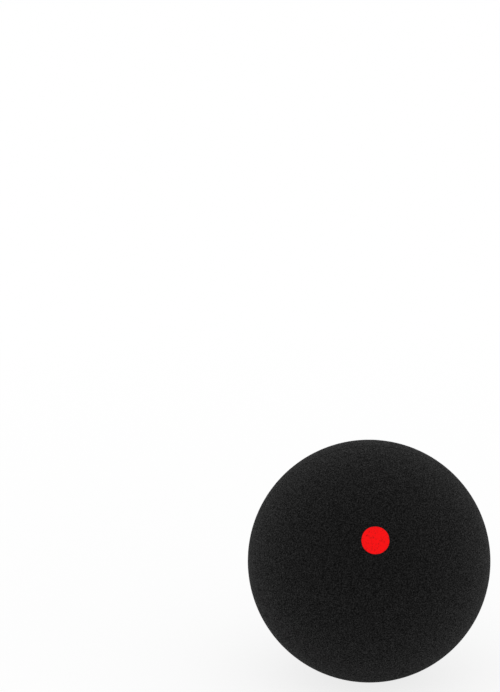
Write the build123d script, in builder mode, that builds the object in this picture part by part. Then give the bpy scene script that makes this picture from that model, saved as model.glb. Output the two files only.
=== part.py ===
from build123d import *
from math import asin, degrees
import os

# Squash ball: two moulded rubber half-shells, butted and bonded along one great circle,
# buffed matt all over and printed with one speed dot.
# Millimetres and degrees. The origin is the ball's centre, +Z is up and -Y is the side with the dot.
# The seam lies in the XZ plane, so one half-shell is the front and the other the rear.

# Driving dimensions
ball_diameter = 40.0  # outside of the rubber
wall = 5.0  # rubber thickness, the same all over
bond_film = 0.12  # cured adhesive between the two butt faces
seam_recess = 0.03  # the film ends this far below the buffed surface
edge_round = 0.03  # rounding that buffing leaves on the outer edge of each butt face
bead_width = 1.6  # adhesive pressed out into the air chamber, measured across the seam
bead_height = 0.6  # how far that bead stands off the chamber wall
dot_diameter = 4.5  # printed speed dot, straight across
ink_thickness = 0.03  # printed ink, lying on the rubber
ink_clearance = 0.02  # room under the ink, so that its round underside never crosses the rubber
dot_elevation = 30.0  # the dot's centre above the horizontal, seen from the ball's centre

# Sizes that follow from them
outer_radius = ball_diameter / 2
chamber_radius = outer_radius - wall
half_film = bond_film / 2
butt_outer_angle = degrees(asin(half_film / outer_radius))
butt_inner_angle = degrees(asin(half_film / chamber_radius))
film_edge = outer_radius - seam_recess
bead_angle = degrees(asin(bead_width / 2 / chamber_radius))
ink_radius = outer_radius + ink_clearance
dot_angle = degrees(asin(dot_diameter / 2 / outer_radius))
ball_centre = (0, 0)

# Rear half-shell: a quarter ring turned about the Y axis, with its flat butt face beside the seam
with BuildPart() as rear_half_shell:
    with BuildSketch(Plane.XY) as shell_section:
        with BuildLine():
            outside = CenterArc(ball_centre, outer_radius, butt_outer_angle, 90 - butt_outer_angle)
            inside = CenterArc(ball_centre, chamber_radius, butt_inner_angle, 90 - butt_inner_angle)
            Line(outside @ 0, inside @ 0)
            Line(outside @ 1, inside @ 1)
        make_face()
        outer_butt_corner = shell_section.vertices().sort_by(Axis.X)[-1]
        fillet(outer_butt_corner, radius=edge_round)
    revolve(axis=Axis.Y)

# Front half-shell: the same moulding, facing the other way
with BuildPart() as front_half_shell:
    mirror(rear_half_shell.part, about=Plane.XZ)

# Bond seam: a thin ring of adhesive between the butt faces, with the bead that
# the two halves press out of the joint on the inside
with BuildPart() as bond_seam:
    with BuildSketch(Plane.XY):
        with BuildLine() as bond_outline:
            wall_sweep = bead_angle - butt_inner_angle
            wall_arc = CenterArc(ball_centre, chamber_radius, butt_inner_angle, wall_sweep)
            bead_end = wall_arc @ 1
            bead_crown = (chamber_radius - bead_height, 0)
            Line((film_edge, 0), (film_edge, half_film))
            Line((film_edge, half_film), wall_arc @ 0)
            ThreePointArc(bead_end, bead_crown, (bead_end.X, -bead_end.Y))
            mirror(bond_outline.edges().filter_by(lambda edge: edge.center().Y > 0), about=Plane.XZ)
        make_face()
    revolve(axis=Axis.Y)

# Speed dot: a skin of ink on the front half-shell, turned about the line from the ball's centre
dot_plane = Plane.XY.rotated((180 - dot_elevation, 0, 0))
with BuildPart() as speed_dot:
    with BuildSketch(dot_plane):
        with BuildLine():
            ink_base = CenterArc(ball_centre, ink_radius, 90 - dot_angle, dot_angle)
            ink_face = CenterArc(ball_centre, ink_radius + ink_thickness, 90 - dot_angle, dot_angle)
            Line(ink_base @ 0, ink_face @ 0)
            Line(ink_base @ 1, ink_face @ 1)
        make_face()
    revolve(axis=Axis(dot_plane.origin, dot_plane.y_dir))

# One file for each piece
pieces = {
    "front_half_shell": front_half_shell,
    "rear_half_shell": rear_half_shell,
    "bond_seam": bond_seam,
    "speed_dot": speed_dot,
}
os.makedirs("parts", exist_ok=True)
for name, piece in pieces.items():
    piece.part.label = name
    export_step(piece.part, f"parts/{name}.step")
    print(f"{name}: {piece.part.volume:.2f} mm3")
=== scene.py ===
from math import acos, atan, atan2, hypot, pi, sin

import bpy
from mathutils import Euler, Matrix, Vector


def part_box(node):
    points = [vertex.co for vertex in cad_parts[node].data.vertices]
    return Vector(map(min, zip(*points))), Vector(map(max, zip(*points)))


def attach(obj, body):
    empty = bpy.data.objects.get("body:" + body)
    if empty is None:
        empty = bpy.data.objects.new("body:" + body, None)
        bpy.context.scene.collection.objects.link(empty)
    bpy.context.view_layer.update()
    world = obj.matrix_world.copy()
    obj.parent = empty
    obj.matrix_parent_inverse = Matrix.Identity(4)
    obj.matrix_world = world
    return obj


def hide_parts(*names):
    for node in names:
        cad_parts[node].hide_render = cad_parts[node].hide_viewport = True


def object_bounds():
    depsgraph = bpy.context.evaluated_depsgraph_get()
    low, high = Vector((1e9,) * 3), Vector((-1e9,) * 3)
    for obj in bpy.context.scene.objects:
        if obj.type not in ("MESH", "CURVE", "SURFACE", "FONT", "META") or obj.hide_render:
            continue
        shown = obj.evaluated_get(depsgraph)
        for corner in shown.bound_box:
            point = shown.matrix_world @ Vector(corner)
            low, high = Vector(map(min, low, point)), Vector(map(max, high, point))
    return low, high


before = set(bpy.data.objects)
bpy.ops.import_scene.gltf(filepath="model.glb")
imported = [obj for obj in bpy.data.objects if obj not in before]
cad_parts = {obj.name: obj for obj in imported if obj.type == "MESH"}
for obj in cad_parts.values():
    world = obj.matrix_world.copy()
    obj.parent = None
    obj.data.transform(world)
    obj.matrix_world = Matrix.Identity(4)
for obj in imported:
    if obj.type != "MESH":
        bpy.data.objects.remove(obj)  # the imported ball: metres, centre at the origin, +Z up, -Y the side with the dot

scene = bpy.context.scene
scene.view_settings.view_transform = "Standard"
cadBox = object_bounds()
mm = 0.001
degree = pi / 180
quarterTurn = pi / 2
plainWhite = (1, 1, 1, 1)

# what the frame says of the ball
ballRadius = cadBox[1].y
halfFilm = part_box("rear_half_shell")[0].y  # half of the glue line's width
chamberRadius = min(v.co.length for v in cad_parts["rear_half_shell"].data.vertices)
dotPoints = [v.co.copy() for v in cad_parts["speed_dot"].data.vertices]
dotAxis = sum(dotPoints, Vector()).normalized()
dotAngle = max(dotAxis.angle(p) for p in dotPoints)
print(f"frame: ball {ballRadius / mm:.2f} mm and chamber {chamberRadius / mm:.2f} mm in radius")


class Value:
    # one output socket; sums with it add Math nodes to its tree
    def __init__(self, tree, socket):
        self.tree = tree
        self.socket = socket

    def __getitem__(self, output):
        return Value(self.tree, self.socket.node.outputs[output])

    def __add__(self, other):
        return self.tree.math("ADD", self, other)

    def __radd__(self, other):
        return self.tree.math("ADD", other, self)

    def __sub__(self, other):
        return self.tree.math("SUBTRACT", self, other)

    def __rsub__(self, other):
        return self.tree.math("SUBTRACT", other, self)

    def __mul__(self, other):
        return self.tree.math("MULTIPLY", self, other)

    def __rmul__(self, other):
        return self.tree.math("MULTIPLY", other, self)

    def __truediv__(self, other):
        return self.tree.math("DIVIDE", self, other)

    def __rtruediv__(self, other):
        return self.tree.math("DIVIDE", other, self)

    def __pow__(self, other):
        return self.tree.math("POWER", self, other)

    def __gt__(self, other):
        return self.tree.math("GREATER_THAN", self, other)

    def __lt__(self, other):
        return self.tree.math("LESS_THAN", self, other)


class Tree:
    # adds nodes to a node tree, of a material or of a shape
    def __init__(self, nodeTree):
        self.nodeTree = nodeTree

    def feed(self, socket, value):
        if isinstance(value, Value):
            self.nodeTree.links.new(value.socket, socket)
        elif isinstance(value, list):  # a socket that takes several links
            for one in value:
                self.feed(socket, one)
        else:
            socket.default_value = value

    def node(self, kind, settings=None, sockets=None):
        made = self.nodeTree.nodes.new(kind)
        for name, value in (settings or {}).items():
            setattr(made, name, value)
        for name, value in (sockets or {}).items():
            self.feed(made.inputs[name], value)
        shown = [output for output in made.outputs if output.enabled]
        return Value(self, shown[0]) if shown else made

    def math(self, operation, *numbers, clamp=False):
        settings = {"operation": operation, "use_clamp": clamp}
        return self.node("ShaderNodeMath", settings, dict(enumerate(numbers)))

    def vector(self, operation, first, second=None):
        sockets = {0: first}
        if second is not None:
            sockets["Scale" if operation == "SCALE" else 1] = second
        return self.node("ShaderNodeVectorMath", {"operation": operation}, sockets)

    def parts(self, vector):
        split = self.node("ShaderNodeSeparateXYZ", {}, {"Vector": vector})
        return split["X"], split["Y"], split["Z"]

    def join(self, x, y, z):
        return self.node("ShaderNodeCombineXYZ", {}, {"X": x, "Y": y, "Z": z})

    def noise(self, spot, size, seed, detail=2.0, roughness=0.5):
        sockets = {"Vector": spot, "W": seed, "Scale": 1.0 / size, "Detail": detail, "Roughness": roughness}
        return self.node("ShaderNodeTexNoise", {"noise_dimensions": "4D"}, sockets)

    def sway(self, spot, size, seed, detail=2.0):
        # noise to both sides of zero
        return self.noise(spot, size, seed, detail) - 0.5

    def between(self, value, start, end):
        # 0 at start, 1 at end, and held there beyond
        return self.math("DIVIDE", value - start, end - start, clamp=True)

    def blend(self, factor, first, second):
        # 6, 7 and 2 are the sockets for colours; the node's others share their names
        made = self.node("ShaderNodeMix", {"data_type": "RGBA"}, {0: factor, 6: first, 7: second})
        return made[2]

    def bump(self, height, distance):
        return self.node("ShaderNodeBump", {}, {"Height": height, "Distance": distance, "Strength": 1.0})

    def surface(self, sockets):
        return self.node("ShaderNodeBsdfPrincipled", {}, sockets)

    def mixed(self, factor, first, second):
        return self.node("ShaderNodeMixShader", {}, {0: factor, 1: first, 2: second})

    def seen(self):
        # 1 for what shows, by itself or in something shiny or clear, and 0 for what only lights
        path = self.node("ShaderNodeLightPath")
        mirrored = path["Is Glossy Ray"] + path["Is Transmission Ray"]
        return self.math("ADD", path["Is Camera Ray"], mirrored, clamp=True)


def makeMaterial(name, shade, look):
    # shade makes the shader from the look, at a spot on the piece
    material = bpy.data.materials.new(name)
    material.use_nodes = True
    tree = Tree(material.node_tree)
    nodes = material.node_tree.nodes
    nodes.remove(nodes["Principled BSDF"])
    spot = tree.node("ShaderNodeTexCoord")["Object"]
    tree.feed(nodes["Material Output"].inputs["Surface"], shade(tree, spot, look))
    return material


# Geometry Nodes trees

socketTypes = {float: "NodeSocketFloat", int: "NodeSocketInt", bpy.types.Material: "NodeSocketMaterial"}
crispAngle = 40 * degree  # a sharper bend than this is shaded as an edge


class ShapeTree(Tree):
    # a tree that makes a shape from named inputs, which a modifier then fills in
    def __init__(self, name, inputs):
        super().__init__(bpy.data.node_groups.new(name, "GeometryNodeTree"))
        interface = self.nodeTree.interface
        self.keys = {}
        for label, value in inputs.items():
            kind = socketTypes[type(value)]
            made = interface.new_socket(name=label, in_out="INPUT", socket_type=kind)
            self.keys[label] = made.identifier
        interface.new_socket(name="Geometry", in_out="OUTPUT", socket_type="NodeSocketGeometry")
        entry = self.node("NodeGroupInput")
        self.given = {label: entry[label] for label in inputs}

    def place(self):
        return self.node("GeometryNodeInputPosition")

    def move(self, geometry, place, selection=True):
        sockets = {"Geometry": geometry, "Position": place, "Selection": selection}
        return self.node("GeometryNodeSetPosition", {}, sockets)

    def turn(self, geometry, aboutX):
        sockets = {"Geometry": geometry, "Rotation": self.join(aboutX, 0.0, 0.0)}
        return self.node("GeometryNodeTransform", {}, sockets)

    def weld(self, pieces, gap):
        both = self.node("GeometryNodeJoinGeometry", {}, {"Geometry": pieces})
        return self.node("GeometryNodeMergeByDistance", {}, {"Geometry": both, "Distance": gap})

    def finish(self, geometry):
        smooth = self.node("GeometryNodeSetShadeSmooth", {}, {"Geometry": geometry, "Shade Smooth": True})
        bend = self.node("GeometryNodeInputMeshEdgeAngle")["Unsigned Angle"]
        sockets = {"Geometry": smooth, "Selection": bend > crispAngle, "Shade Smooth": False}
        crisp = self.node("GeometryNodeSetShadeSmooth", {"domain": "EDGE"}, sockets)
        whole = self.node("GeometryNodeRealizeInstances", {}, {"Geometry": crisp})
        sockets = {"Geometry": whole, "Material": self.given["Material"]}
        dressed = self.node("GeometryNodeSetMaterial", {}, sockets)
        self.node("NodeGroupOutput", {}, {"Geometry": dressed})


def growPiece(name, tree, inputs):
    # runs the tree once and keeps its result as a plain mesh
    piece = bpy.data.objects.new(name, bpy.data.meshes.new(name))
    scene.collection.objects.link(piece)
    modifier = piece.modifiers.new(name, "NODES")
    modifier.node_group = tree.nodeTree
    for label, value in inputs.items():
        modifier[tree.keys[label]] = value
    grown = piece.evaluated_get(bpy.context.evaluated_depsgraph_get())
    mesh = bpy.data.meshes.new_from_object(grown)
    piece.modifiers.remove(modifier)
    piece.data = mesh
    mesh.name = name
    mesh.materials.pop(index=0)  # the empty slot that the first grid brings
    print(f"{name}: {len(mesh.vertices)} points, {len(mesh.polygons)} faces")
    return piece


# Buffed rubber

buffing = {
    "Grain Size": 0.55 * mm,  # the coarse part of the buffed texture, as real relief
    "Grain Depth": 0.014 * mm,
    "Pit Size": 1.3 * mm,  # shallow places that the buffing wheel missed
    "Pit Depth": 0.012 * mm,
    "Pit Start": 0.56,  # share of the noise where a pit begins, and where it is full
    "Pit Full": 0.74,
    "Grain Seed": 3.7,
    "Pit Seed": 12.7,
}


def buffedRelief(tree, spot):
    # depth of the buffed surface below the full radius, alike for the rubber and for ink on it
    given = tree.given
    grain = tree.noise(spot, given["Grain Size"], given["Grain Seed"], detail=1.0)
    dips = tree.noise(spot, given["Pit Size"], given["Pit Seed"])
    pits = tree.between(dips, given["Pit Start"], given["Pit Full"])
    return given["Grain Depth"] * grain + given["Pit Depth"] * pits


rubberLook = {
    "grainSize": 0.20 * mm,  # fine buffed grain
    "grainRoughness": 0.6,
    "grainSeed": 1.3,
    "patchSize": 0.75 * mm,  # where the grain is denser or finer
    "patchSeed": 5.3,
    "patchShare": 0.03,
    "mottleSize": 6.0 * mm,  # slow change over the ball
    "mottleSeed": 9.3,
    "mottleShare": 0.015,
    # three levels of the grain: its valleys, darker as painted shade in the hollows, the ground between, and its torn,
    # dusty crests, paler partly from dust and partly as painted highlight
    "valley": {"level": 0.37, "colour": (0.0026, 0.0026, 0.0026, 1), "roughness": 0.95, "sheen": 0.003},
    "ground": {"level": 0.50, "colour": (0.0046, 0.0046, 0.0046, 1), "roughness": 0.91, "sheen": 0.033},
    "crest": {"level": 0.71, "colour": (0.0098, 0.0098, 0.0098, 1), "roughness": 0.84, "sheen": 0.126},
    "bumpHeight": 0.045 * mm,
    "specular": 0.010,
    "sheenRoughness": 0.72,
}


def buffedRubber(tree, spot, look):
    grain = tree.noise(spot, look["grainSize"], look["grainSeed"], roughness=look["grainRoughness"])
    patches = tree.sway(spot, look["patchSize"], look["patchSeed"])
    mottle = tree.sway(spot, look["mottleSize"], look["mottleSeed"])
    height = grain + patches * look["patchShare"] + mottle * look["mottleShare"]
    bump = tree.bump(grain, look["bumpHeight"])
    valley, ground, crest = look["valley"], look["ground"], look["crest"]

    def rubberAt(place):
        return tree.surface({
            "Base Color": place["colour"],
            "Roughness": place["roughness"],
            "Normal": bump,
            "Specular IOR Level": look["specular"],
            "Sheen Weight": place["sheen"],
            "Sheen Roughness": look["sheenRoughness"],
        })

    # valleys take the darkest colour, painted shade in the grain's hollows; crests the palest, rubber dust with a
    # painted highlight
    sunk = tree.between(height, ground["level"], valley["level"])
    torn = tree.between(height, ground["level"], crest["level"])
    ends = tree.mixed(height > ground["level"], rubberAt(valley), rubberAt(crest))
    return tree.mixed(sunk + torn, rubberAt(ground), ends)  # ground first, as an export keeps its sheen


shellSizes = {
    "Outer Radius": ballRadius,
    "Chamber Radius": chamberRadius,
    "Half Film": halfFilm,
    "Edge Round": 0.03 * mm,  # worn edge beside the glue line
    "Cells": 160,  # faces along a quarter turn, an even number
    "Chamber Rings": 16,
}
edgeSteps = 4  # rings that round off the edge
shellWeld = 0.001 * mm


def halfShellTree(inputs):
    # a dome about +Z with a rounded rim, a flat butt face and a round chamber wall, then laid along Y
    tree = ShapeTree("halfShell", inputs)
    given = tree.given
    outer = given["Outer Radius"]
    chamber = given["Chamber Radius"]
    film = given["Half Film"]
    edge = given["Edge Round"]

    def heading():
        # the way outwards in the rim's plane, and the latitude above it
        x, y, z = tree.parts(tree.place())
        along = tree.vector("NORMALIZE", tree.join(x, y, 0.0))
        return along, tree.math("ARCTAN2", z, (x * x + y * y) ** 0.5)

    def onRing(flat, spread, height):
        return tree.vector("ADD", tree.vector("SCALE", flat, spread), tree.join(0.0, 0.0, height))

    def upperHalf(mesh):
        sockets = {"Geometry": mesh, "Selection": tree.parts(tree.place())[2] < 0.0}
        return tree.node("GeometryNodeDeleteGeometry", {"domain": "FACE"}, sockets)

    def onDome(mesh, radius, rimAngle):
        flat, latitude = heading()
        lifted = rimAngle + latitude * (1.0 - rimAngle / quarterTurn)
        spread = radius * tree.math("COSINE", lifted)
        return tree.move(mesh, onRing(flat, spread, radius * tree.math("SINE", lifted)))

    # outside: the grid of a cube from -1 to 1, spread over the ball at even angles
    count = given["Cells"] + 1
    sides = {"Size": (2, 2, 2), "Vertices X": count, "Vertices Y": count, "Vertices Z": count}
    cube = upperHalf(tree.node("GeometryNodeMeshCube", {}, sides))
    evened = tree.vector("TANGENT", tree.vector("SCALE", tree.place(), quarterTurn / 2))
    ball = tree.move(cube, tree.vector("NORMALIZE", evened))
    rimAngle = tree.math("ARCSINE", (film + edge) / (outer - edge))
    shell = onDome(ball, outer, rimAngle)

    # rim: a few rings round the edge, then the butt face down to the chamber
    edgeCentre = (outer - edge) * tree.math("COSINE", rimAngle)
    rings = []
    for step in range(1, edgeSteps + 1):
        turn = rimAngle - (rimAngle + quarterTurn) * (step / edgeSteps)
        spread = edgeCentre + edge * tree.math("COSINE", turn)
        rings.append((spread, film + edge + edge * tree.math("SINE", turn)))
    rings.append(((chamber * chamber - film * film) ** 0.5, film))
    rim = tree.node("GeometryNodeInputMeshEdgeNeighbors") < 2.0  # edges with a single face
    for spread, height in rings:
        sockets = {"Mesh": shell, "Selection": rim, "Offset Scale": 0.0}
        shell = tree.node("GeometryNodeExtrudeMesh", {"mode": "EDGES"}, sockets)
        rim = shell["Top"]
        shell = tree.move(shell, onRing(heading()[0], spread, height), rim)

    # chamber wall, facing inwards
    turns = {"Segments": given["Cells"] * 4.0, "Rings": given["Chamber Rings"] * 2.0, "Radius": 1.0}
    chamberBall = upperHalf(tree.node("GeometryNodeMeshUVSphere", {}, turns))
    wall = onDome(chamberBall, chamber, tree.math("ARCSINE", film / chamber))
    wall = tree.node("GeometryNodeFlipFaces", {}, {"Mesh": wall})
    laid = tree.turn(tree.weld([shell, wall], shellWeld), given["Turn"])

    # buffing takes a little off the outside
    place = tree.place()
    outward = tree.vector("NORMALIZE", place)
    midWall = (outer + chamber) / 2.0
    outside = tree.vector("LENGTH", place)["Value"] > midWall
    relief = buffedRelief(tree, tree.vector("SCALE", outward, outer)) * outside
    buffed = tree.vector("SUBTRACT", place, tree.vector("SCALE", outward, relief))
    tree.finish(tree.move(laid, buffed))
    return tree


rubber = makeMaterial("buffedRubber", buffedRubber, rubberLook)
shellInputs = {**shellSizes, **buffing, "Turn": 0.0, "Material": rubber}
shellTree = halfShellTree(shellInputs)
halves = (("frontShell", "front_half_shell", quarterTurn), ("rearShell", "rear_half_shell", -quarterTurn))
for name, node, turn in halves:
    shell = growPiece(name, shellTree, {**shellInputs, "Turn": turn})
    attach(shell, "root")
    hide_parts(node)


# Printed dot

dotSizes = {
    "Outer Radius": ballRadius,
    "Dot Angle": dotAngle,
    "Polar": dotAxis.angle(Vector((0, 0, 1))),  # the dot's centre, measured from the top
    "Ink Thickness": 0.025 * mm,
    "Ink Sink": 0.015 * mm,  # the rim dips this far into the grain
    "Rim Fall": 60.0,  # how late the ink's face falls off towards the rim
    "Rim Waver": 0.035,  # shares of the dot's radius
    "Waver Size": 0.35,
    "Waver Fall": 6.0,  # how fast the waver dies out inwards
    "Cells": 72,  # faces across the dot
}
inkWeld = 0.0001 * mm


def speedDotTree(inputs):
    # a thin skin of ink on the front half-shell: a square grid drawn out to a disc, laid on the grain
    tree = ShapeTree("speedDot", inputs)
    given = tree.given
    count = given["Cells"] + 1
    sides = {"Size X": 2.0, "Size Y": 2.0, "Vertices X": count, "Vertices Y": count}
    grid = tree.node("GeometryNodeMeshGrid", {}, sides)
    x, y = tree.parts(tree.place())[:2]
    rounded = tree.join(x * (1.0 - y * y / 2.0) ** 0.5, y * (1.0 - x * x / 2.0) ** 0.5, 0.0)
    disc = tree.move(grid, rounded)

    # bend the disc onto the ball with a slightly uneven rim, and keep how far out each point is
    place = tree.place()
    reach = tree.vector("LENGTH", place)["Value"]
    ring = tree.vector("NORMALIZE", place)
    waver = tree.sway(ring, given["Waver Size"], given["Grain Seed"], detail=1.0)
    angle = given["Dot Angle"] * reach * (1.0 + given["Rim Waver"] * waver * reach ** given["Waver Fall"])
    side = tree.vector("SCALE", ring, tree.math("SINE", angle))
    bent = tree.vector("ADD", side, tree.join(0.0, 0.0, tree.math("COSINE", angle)))
    sockets = {"Geometry": disc, "Name": "reach", "Value": reach}
    kept = tree.node("GeometryNodeStoreNamedAttribute", {"data_type": "FLOAT"}, sockets)
    turned = tree.turn(tree.move(kept, bent), given["Polar"])

    # underside just below the grain, face just above it, both meeting at the rim
    def skin(lift):
        spot = tree.vector("SCALE", tree.place(), given["Outer Radius"])
        height = given["Outer Radius"] - buffedRelief(tree, spot) - given["Ink Sink"] + lift
        return tree.move(turned, tree.vector("SCALE", tree.place(), height))

    out = tree.node("GeometryNodeInputNamedAttribute", {"data_type": "FLOAT"}, {"Name": "reach"})
    face = skin((given["Ink Sink"] + given["Ink Thickness"]) * (1.0 - out ** given["Rim Fall"]))
    under = tree.node("GeometryNodeFlipFaces", {}, {"Mesh": skin(0.0)})
    closed = tree.weld([face, under], inkWeld)
    tree.finish(tree.node("GeometryNodeRemoveAttribute", {}, {"Geometry": closed, "Name": "reach"}))
    return tree


inkLook = {
    "red": (0.95, 0.004, 0.005, 1),
    "thin": (0.42, 0.006, 0.006, 1),  # where the ink lies thin over a crest
    "thinRange": (0.52, 0.80),  # share of the noise where that starts, and where it is full
    "grainSize": 0.24 * mm,
    "grainSeed": 5.2,
    "bare": (0.02, 0.004, 0.004, 1),  # pinholes
    "bareRange": (0.76, 0.84),
    "pinholeSize": 0.20 * mm,
    "pinholeSeed": 10.2,
    "roughness": (0.45, 0.62),
    "bumpHeight": 0.006 * mm,
    "specular": 0.05,
}


def redInk(tree, spot, look):
    grain = tree.noise(spot, look["grainSize"], look["grainSeed"], detail=1.5)
    thin = tree.between(grain, *look["thinRange"])
    holes = tree.noise(spot, look["pinholeSize"], look["pinholeSeed"], detail=0.0)
    bare = tree.between(holes, *look["bareRange"])
    smooth, rough = look["roughness"]
    return tree.surface({
        "Base Color": tree.blend(bare, tree.blend(thin, look["red"], look["thin"]), look["bare"]),
        "Roughness": smooth + thin * (rough - smooth),
        "Normal": tree.bump(grain, look["bumpHeight"]),
        "Specular IOR Level": look["specular"],
    })


dotInputs = {**dotSizes, **buffing, "Material": makeMaterial("redInk", redInk, inkLook)}
speedDot = growPiece("speedDotInk", speedDotTree(dotInputs), dotInputs)
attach(speedDot, "root")
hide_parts("speed_dot")


# Glue line

seamLook = {
    "bare": (0.0006, 0.0006, 0.0006, 1),
    "buffed": (0.0100, 0.0100, 0.0100, 1),  # rubber dust that buffing works into the line
    "dustRange": (0.45, 0.75),  # share of the noise where that starts, and where it is full
    "grainSize": 0.20 * mm,
    "grainSeed": 9.4,
    "runSize": 2.6 * mm,  # how long the line stays clear or filled
    "runSeed": 6.4,
    "runShare": 1.6,
    "roughness": (0.55, 0.85),
    "specular": 0.03,
}


def curedAdhesive(tree, spot, look):
    grain = tree.noise(spot, look["grainSize"], look["grainSeed"])
    runs = tree.sway(spot, look["runSize"], look["runSeed"])
    dust = tree.between(grain + runs * look["runShare"], *look["dustRange"])
    smooth, rough = look["roughness"]
    return tree.surface({
        "Base Color": tree.blend(dust, look["bare"], look["buffed"]),
        "Roughness": smooth + dust * (rough - smooth),
        "Specular IOR Level": look["specular"],
    })


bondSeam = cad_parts["bond_seam"]
bondSeam.data.materials.clear()
bondSeam.data.materials.append(makeMaterial("curedAdhesive", curedAdhesive, seamLook))
print("glue line dressed")


# Floor, light and camera

floorLook = {
    "reach": 4.0,  # metres along each side
    "colour": (0.95, 0.95, 0.95, 1),
    "lift": 0.80,  # how far the white sheet washes out the shadow beside the ball
    "fade": (0.03, 0.20),  # where that starts to grow, and where the sheet is plain white, in metres
}


def paleSheet(tree, spot, look):
    # keeps the ball's shadow near it and is plain white further out
    away = tree.vector("LENGTH", spot)["Value"]
    plain = look["lift"] + (1.0 - look["lift"]) * tree.between(away, *look["fade"])
    sheet = tree.node("ShaderNodeBsdfDiffuse", {}, {"Color": look["colour"]})
    white = tree.node("ShaderNodeEmission", {}, {"Color": plainWhite, "Strength": 1.0})
    return tree.mixed(plain * tree.seen(), sheet, white)


def layFloor(look):
    half = look["reach"] / 2
    mesh = bpy.data.meshes.new("paleFloor")
    corners = ((-half, -half), (half, -half), (half, half), (-half, half))
    mesh.from_pydata([(x, y, cadBox[0].z) for x, y in corners], [], [(0, 1, 2, 3)])
    material = makeMaterial("paleFloor", paleSheet, look)
    material.cycles.emission_sampling = "NONE"  # shiny things see all of that white
    mesh.materials.append(material)
    floor = bpy.data.objects.new("paleFloor", mesh)
    scene.collection.objects.link(floor)
    return floor


paleFloor = layFloor(floorLook)

lightLook = {
    "surround": 0.95,  # even white tent
    "boxSize": 0.9,  # metres across
    "boxPower": 0.6,  # watts
    "boxPlace": (-0.10, -0.60, 1.0),
}


def lightTent(look):
    world = bpy.data.worlds.new("lightTent")
    world.use_nodes = True
    tree = Tree(world.node_tree)
    backdrop = world.node_tree.nodes["Background"]
    tree.feed(backdrop.inputs["Color"], plainWhite)
    tree.feed(backdrop.inputs["Strength"], look["surround"] + tree.seen() * (1.0 - look["surround"]))
    scene.world = world


def hangSoftbox(look):
    lamp = bpy.data.lights.new("softbox", "AREA")
    lamp.shape = "DISK"
    lamp.size = look["boxSize"]
    lamp.energy = look["boxPower"]
    softbox = bpy.data.objects.new("softbox", lamp)
    softbox.location = look["boxPlace"]
    softbox.rotation_euler = (-softbox.location).to_track_quat("-Z", "Y").to_euler()
    scene.collection.objects.link(softbox)


lightTent(lightLook)
hangSoftbox(lightLook)
print("floor and light ready")

cameraLook = {
    "frame": (500, 692),  # the photograph's width and height, in pixels
    "ballCentre": (369.0, 560.9),  # where the ball is in it, and how far it reaches from there
    "ballReach": 121.1,
    "lens": 200.0,
    "sensor": 36.0,
    "azimuth": -3.3 * degree,
    "elevation": 20.5 * degree,
}


def placeCamera(look):
    # stands where the ball fills its place in the frame, at the photograph's angle, with no lens shift
    width, height = look["frame"]
    focal = look["lens"] / look["sensor"] * max(width, height)  # in pixels
    distance = ballRadius / sin(atan(look["ballReach"] / focal))
    column, row = look["ballCentre"]
    across = (column - width / 2) / focal
    up = (height / 2 - row) / focal
    sight = Vector((across, up, -1))  # towards the ball, as the camera sees it
    tilt = acos(sin(look["elevation"]) * sight.length / hypot(1, up)) - atan(up)
    sight.rotate(Euler((tilt, 0, 0)))
    turn = quarterTurn + look["azimuth"] - atan2(sight.y, sight.x)
    sight.rotate(Euler((0, 0, turn)))
    camera = bpy.data.objects.new("camera", bpy.data.cameras.new("camera"))
    camera.data.lens = look["lens"]
    camera.data.sensor_width = look["sensor"]
    camera.rotation_euler = (tilt, 0, turn)
    camera.location = -distance * sight.normalized()
    scene.collection.objects.link(camera)
    scene.camera = camera
    print(f"camera {distance:.3f} m away")


placeCamera(cameraLook)
